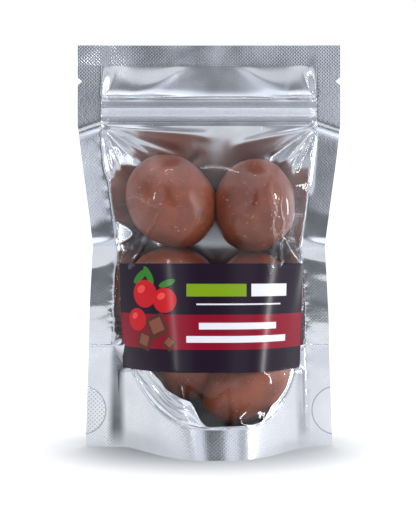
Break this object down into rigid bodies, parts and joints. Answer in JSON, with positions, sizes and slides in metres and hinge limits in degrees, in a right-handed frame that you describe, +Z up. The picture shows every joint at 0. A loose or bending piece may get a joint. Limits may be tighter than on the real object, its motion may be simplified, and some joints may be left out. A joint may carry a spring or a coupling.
{
  "type": "pouch of chocolate-covered freeze-dried strawberries",
  "caption": "Sealed stand-up pouch with clear film in front and silver foil behind, a press-to-close zip, a label, and chocolate-covered freeze-dried strawberries inside.",
  "frame": {"origin": "on the table under the middle of the pouch, midway between its two side edges and its front and back", "axes": "+Z up, -Y towards the front with the clear film and the label, +X to the right seen from the front"},
  "size_m": [0.11, 0.049, 0.168],
  "materials": {
    "foil": "silver foil laminate and clear film, embossed where welded",
    "label": "dark printed label with a crimson band"
  },
  "bodies": {
    "root": {"pouch": "foil", "label": "label"}
  },
  "joints": []
}
